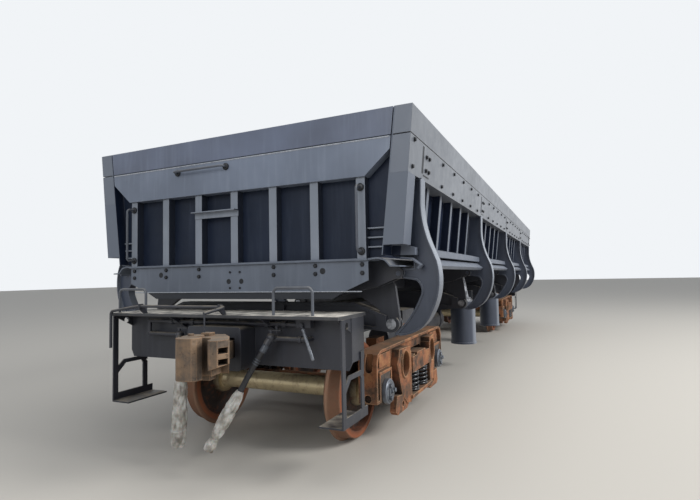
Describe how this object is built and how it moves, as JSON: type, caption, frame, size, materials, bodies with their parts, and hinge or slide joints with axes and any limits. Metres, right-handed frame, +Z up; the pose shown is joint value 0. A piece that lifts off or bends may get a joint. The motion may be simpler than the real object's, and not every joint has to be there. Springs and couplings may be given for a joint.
{
  "type": "side dump car",
  "caption": "Four-axle railway wagon whose open box tips to either side; side doors open outwards as it tips.",
  "frame": {"origin": "middle of the bounding box at the level of the wheel flanges' lowest points; the rail top is 28 mm higher", "axes": "+X along the car towards end A (the pictured end), +Y to its right side, +Z up"},
  "size_m": [13.067, 3.3494, 2.6629],
  "materials": {
    "black_paint": "black gloss paint under dust",
    "bearing_steel": "grey machined steel",
    "rusty_casting": "bare cast steel with orange-brown rust",
    "spring_steel": "black spring steel",
    "slate_paint": "slate blue-grey paint, dusty",
    "hose_rubber": "black rubber hose",
    "white_film": "white plastic film, crumpled",
    "dusty_plate": "walked plate under beige dust",
    "bright_steel": "worn bright steel",
    "wheel_steel": "rolled steel, rusted rim"
  },
  "bodies": {
    "underframe": {"air_pipes": "black_paint", "air_reservoir": "black_paint", "brake_cylinder": "black_paint", "brake_hose": "hose_rubber", "brake_hose_film": "white_film", "centre_sill": "black_paint", "couplers": "rusty_casting", "cylinder_brackets": "black_paint", "end_beams": "slate_paint", "end_platforms": "dusty_plate", "left_pivot_pins": "bright_steel", "outriggers": "black_paint", "platform_handrails": "slate_paint", "steps": "black_paint", "tipping_hose": "hose_rubber", "tipping_hose_film": "white_film", "uncoupling_rods": "black_paint"},
    "bogie_a": {"bogie_a_bearings": "bearing_steel", "bogie_a_bolster": "rusty_casting", "bogie_a_brake_beams": "rusty_casting", "bogie_a_side_frames": "rusty_casting", "bogie_a_springs": "spring_steel"},
    "bogie_b": {"bogie_b_bearings": "bearing_steel", "bogie_b_bolster": "rusty_casting", "bogie_b_brake_beams": "rusty_casting", "bogie_b_side_frames": "rusty_casting", "bogie_b_springs": "spring_steel"},
    "wheelset_1": {"wheelset_1": "wheel_steel"},
    "wheelset_2": {"wheelset_2": "wheel_steel"},
    "wheelset_3": {"wheelset_3": "wheel_steel"},
    "wheelset_4": {"wheelset_4": "wheel_steel"},
    "pivot_line": {"right_pivot_pins": "bright_steel"},
    "box": {"box_cross_bearers": "slate_paint", "box_floor": "slate_paint", "box_long_beams": "slate_paint", "box_pivot_saddles": "slate_paint", "box_rod_ears": "slate_paint", "end_sill_plates": "slate_paint", "end_wall_bands": "slate_paint", "end_wall_grab_irons": "slate_paint", "end_wall_ribs": "slate_paint", "end_wall_sheets": "slate_paint", "end_wall_steps": "slate_paint", "end_wall_topboards": "slate_paint"},
    "right_door": {"right_door_arms": "slate_paint", "right_door_band": "slate_paint", "right_door_panel": "slate_paint", "right_door_topboard": "slate_paint"},
    "right_barrels": {"right_cylinder_barrels": "black_paint"},
    "right_outer_stages": {"right_cylinder_outer_stages": "bright_steel"},
    "right_middle_stages": {"right_cylinder_middle_stages": "bright_steel"},
    "right_rods": {"right_cylinder_rods": "bright_steel"},
    "left_door": {"left_door_arms": "slate_paint", "left_door_band": "slate_paint", "left_door_panel": "slate_paint", "left_door_topboard": "slate_paint"},
    "left_barrels": {"left_cylinder_barrels": "black_paint"},
    "left_outer_stages": {"left_cylinder_outer_stages": "bright_steel"},
    "left_middle_stages": {"left_cylinder_middle_stages": "bright_steel"},
    "left_rods": {"left_cylinder_rods": "bright_steel"}
  },
  "joints": [
    {"name": "bogie_a_swivel", "type": "hinge", "parent": "underframe", "child": "bogie_a", "pos_m": [4.175, 0, 0.728], "axis": [0, 0, 1], "range_deg": [-4, 4]},
    {"name": "bogie_b_swivel", "type": "hinge", "parent": "underframe", "child": "bogie_b", "pos_m": [-4.175, 0, 0.728], "axis": [0, 0, 1], "range_deg": [-4, 4]},
    {"name": "wheelset_1_roll", "type": "hinge", "parent": "bogie_a", "child": "wheelset_1", "pos_m": [5.05, 0, 0.448], "axis": [0, 1, 0], "continuous": true},
    {"name": "wheelset_2_roll", "type": "hinge", "parent": "bogie_a", "child": "wheelset_2", "pos_m": [3.3, 0, 0.448], "axis": [0, 1, 0], "continuous": true},
    {"name": "wheelset_3_roll", "type": "hinge", "parent": "bogie_b", "child": "wheelset_3", "pos_m": [-3.3, 0, 0.448], "axis": [0, 1, 0], "continuous": true},
    {"name": "wheelset_4_roll", "type": "hinge", "parent": "bogie_b", "child": "wheelset_4", "pos_m": [-5.05, 0, 0.448], "axis": [0, 1, 0], "continuous": true},
    {"name": "tip_left", "type": "hinge", "parent": "underframe", "child": "pivot_line", "pos_m": [0, -1.24, 1.058], "axis": [-1, 0, 0], "range_deg": [-45, 0]},
    {"name": "tip_right", "type": "hinge", "parent": "pivot_line", "child": "box", "pos_m": [0, 1.24, 1.058], "axis": [-1, 0, 0], "range_deg": [0, 45]},
    {"name": "right_door_swing", "type": "hinge", "parent": "box", "child": "right_door", "pos_m": [0, 1.36, 1.458], "axis": [-1, 0, 0], "range_deg": [0, 90]},
    {"name": "left_door_swing", "type": "hinge", "parent": "box", "child": "left_door", "pos_m": [0, -1.36, 1.458], "axis": [-1, 0, 0], "range_deg": [-90, 0]},
    {"name": "right_cylinder_lean", "type": "hinge", "parent": "underframe", "child": "right_barrels", "pos_m": [0, 1, 0.988], "axis": [1, 0, 0], "range_deg": [0, 25.65]},
    {"name": "right_outer_stages_slide", "type": "slide", "parent": "right_barrels", "child": "right_outer_stages", "axis": [0, 0, 1], "range_m": [0, 0.5618]},
    {"name": "right_middle_stages_slide", "type": "slide", "parent": "right_outer_stages", "child": "right_middle_stages", "axis": [0, 0, 1], "range_m": [0, 0.5618]},
    {"name": "right_rods_slide", "type": "slide", "parent": "right_middle_stages", "child": "right_rods", "axis": [0, 0, 1], "range_m": [0, 0.5618]},
    {"name": "left_cylinder_lean", "type": "hinge", "parent": "underframe", "child": "left_barrels", "pos_m": [0, -1, 0.988], "axis": [-1, 0, 0], "range_deg": [0, 25.65]},
    {"name": "left_outer_stages_slide", "type": "slide", "parent": "left_barrels", "child": "left_outer_stages", "axis": [0, 0, 1], "range_m": [0, 0.5618]},
    {"name": "left_middle_stages_slide", "type": "slide", "parent": "left_outer_stages", "child": "left_middle_stages", "axis": [0, 0, 1], "range_m": [0, 0.5618]},
    {"name": "left_rods_slide", "type": "slide", "parent": "left_middle_stages", "child": "left_rods", "axis": [0, 0, 1], "range_m": [0, 0.5618]}
  ],
  "couplings": [
    {"joint": "right_door_swing", "follows": "tip_right", "ratio": 2},
    {"joint": "left_door_swing", "follows": "tip_left", "ratio": 2},
    {"joint": "right_cylinder_lean", "follows": "tip_left", "ratio": -0.56885},
    {"joint": "right_outer_stages_slide", "follows": "tip_left", "m_per_rad": -0.71473},
    {"joint": "right_middle_stages_slide", "follows": "tip_left", "m_per_rad": -0.71473},
    {"joint": "right_rods_slide", "follows": "tip_left", "m_per_rad": -0.71473},
    {"joint": "left_cylinder_lean", "follows": "tip_right", "ratio": 0.56885},
    {"joint": "left_outer_stages_slide", "follows": "tip_right", "m_per_rad": 0.71473},
    {"joint": "left_middle_stages_slide", "follows": "tip_right", "m_per_rad": 0.71473},
    {"joint": "left_rods_slide", "follows": "tip_right", "m_per_rad": 0.71473}
  ]
}
